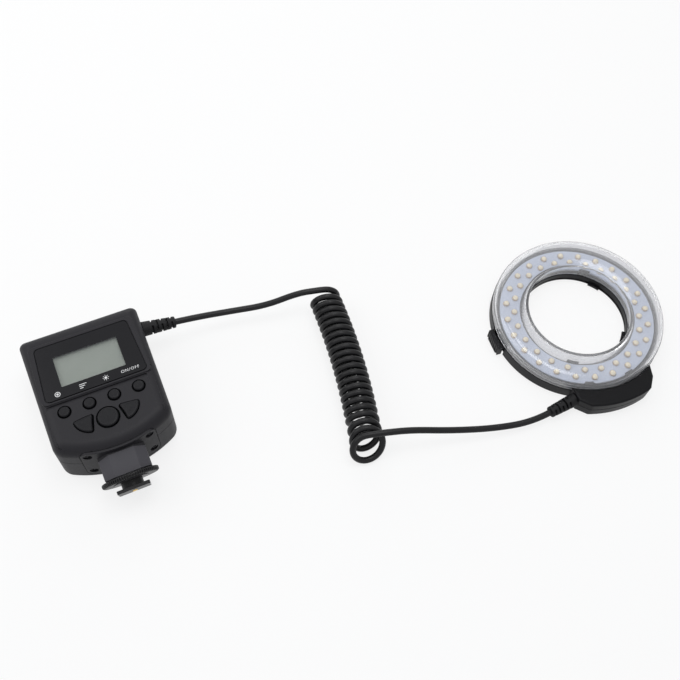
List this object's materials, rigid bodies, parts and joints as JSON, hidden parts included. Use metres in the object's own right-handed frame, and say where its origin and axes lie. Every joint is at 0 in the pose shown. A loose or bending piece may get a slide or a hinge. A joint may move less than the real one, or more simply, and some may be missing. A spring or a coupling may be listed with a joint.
{
  "type": "macro ring flash with shoe mounted controller",
  "caption": "Lamp ring that clips round a lens, with a curly cord to a control box that locks into a camera's accessory shoe.",
  "frame": {"origin": "middle of the ring's lens bore, at its rear face, which is also the surface that ring and box lie on", "axes": "+Z along the bore, the way the lamps shine; -X towards the control box; -Y towards the ring's junction box"},
  "size_m": [0.387, 0.1412, 0.0371],
  "materials": {
    "box_plastic": "fine matte moulded charcoal plastic",
    "button_plastic": "satin moulded plastic",
    "mount_plastic": "matte moulded grey plastic",
    "foot_plastic": "satin black plastic",
    "ring_plastic": "satin black moulded plastic",
    "clear_plastic": "clear polycarbonate",
    "window_plastic": "glossy smoked plastic window",
    "display": "grey-green liquid crystal display",
    "lamp_board": "pale blue coated circuit board",
    "lamp": "cream lamp in a clear dome",
    "circuit_board": "green circuit board",
    "switch": "small moulded switch",
    "steel": "plated steel",
    "dark_steel": "blackened steel",
    "contact": "bright plated contact",
    "cell": "plain sleeved battery cell",
    "boot_rubber": "matte black rubber",
    "cord_rubber": "satin black cord jacket"
  },
  "bodies": {
    "ring_and_box": {"front_shell": "box_plastic", "rear_shell": "box_plastic", "shoe_mount": "mount_plastic", "shoe_foot": "foot_plastic", "ring_rear_housing": "ring_plastic", "ring_rear_plate": "ring_plastic", "junction_lid": "ring_plastic", "clear_cover": "clear_plastic", "display_window": "window_plastic", "lcd_module": "display", "lamp_board": "lamp_board", "outer_lamps": "lamp", "inner_lamps": "lamp", "main_board": "circuit_board", "key_switches": "switch", "board_screws": "steel", "battery_contacts": "steel", "latch_spring": "steel", "ground_strips": "steel", "ring_screws": "dark_steel", "lid_screws": "dark_steel", "case_screws": "dark_steel", "mount_screws": "dark_steel", "battery_cells": "cell", "ring_boot": "boot_rubber", "strain_relief": "boot_rubber", "cord_coil": "cord_rubber", "cord_from_box": "cord_rubber", "cord_from_ring": "cord_rubber"},
    "release_latch": {"release_latch": "ring_plastic"},
    "battery_door": {"battery_door": "box_plastic"},
    "clamp_washer": {"clamp_washer": "steel"},
    "lock_wheel": {"lock_wheel": "foot_plastic"},
    "centre_contact": {"centre_contact": "contact"},
    "pilot_button": {"pilot_button": "button_plastic"},
    "mode_button": {"mode_button": "button_plastic"},
    "light_button": {"light_button": "button_plastic"},
    "power_button": {"power_button": "button_plastic"},
    "set_button": {"set_button": "button_plastic"},
    "left_button": {"left_button": "button_plastic"},
    "right_button": {"right_button": "button_plastic"}
  },
  "joints": [
    {"name": "latch_press", "type": "slide", "parent": "ring_and_box", "child": "release_latch", "axis": [1, 0, 0], "range_m": [0, 0.0024], "stiffness_N_per_m": 2000, "springref_m": -0.0008, "deforming": ["latch_spring"]},
    {"name": "door_slide", "type": "slide", "parent": "ring_and_box", "child": "battery_door", "axis": [-0.0861, 0.9963, 0], "range_m": [0, 0.009]},
    {"name": "washer_clamp", "type": "slide", "parent": "ring_and_box", "child": "clamp_washer", "axis": [0.0819, -0.9475, -0.309], "range_m": [0, 0.0018]},
    {"name": "wheel_turn", "type": "hinge", "parent": "clamp_washer", "child": "lock_wheel", "pos_m": [-0.29129, -0.0091, 0.0206], "axis": [0.0819, -0.9475, -0.309], "range_deg": [0, 360]},
    {"name": "contact_press", "type": "slide", "parent": "ring_and_box", "child": "centre_contact", "axis": [-0.0819, 0.9475, 0.309], "range_m": [0, 0.0006], "stiffness_N_per_m": 600, "springref_m": -0.0005},
    {"name": "pilot_press", "type": "slide", "parent": "ring_and_box", "child": "pilot_button", "axis": [0, 0, -1], "range_m": [0, 0.0008], "stiffness_N_per_m": 1500, "springref_m": -0.0002},
    {"name": "mode_press", "type": "slide", "parent": "ring_and_box", "child": "mode_button", "axis": [0, 0, -1], "range_m": [0, 0.0008], "stiffness_N_per_m": 1500, "springref_m": -0.0002},
    {"name": "light_press", "type": "slide", "parent": "ring_and_box", "child": "light_button", "axis": [0, 0, -1], "range_m": [0, 0.0008], "stiffness_N_per_m": 1500, "springref_m": -0.0002},
    {"name": "power_press", "type": "slide", "parent": "ring_and_box", "child": "power_button", "axis": [0, 0, -1], "range_m": [0, 0.0008], "stiffness_N_per_m": 1500, "springref_m": -0.0002},
    {"name": "set_press", "type": "slide", "parent": "ring_and_box", "child": "set_button", "axis": [0, 0, -1], "range_m": [0, 0.0008], "stiffness_N_per_m": 1500, "springref_m": -0.0002},
    {"name": "left_press", "type": "slide", "parent": "ring_and_box", "child": "left_button", "axis": [0, 0, -1], "range_m": [0, 0.0008], "stiffness_N_per_m": 1500, "springref_m": -0.0002},
    {"name": "right_press", "type": "slide", "parent": "ring_and_box", "child": "right_button", "axis": [0, 0, -1], "range_m": [0, 0.0008], "stiffness_N_per_m": 1500, "springref_m": -0.0002}
  ],
  "couplings": [
    {"joint": "washer_clamp", "follows": "wheel_turn", "m_per_rad": 0.00028648}
  ]
}
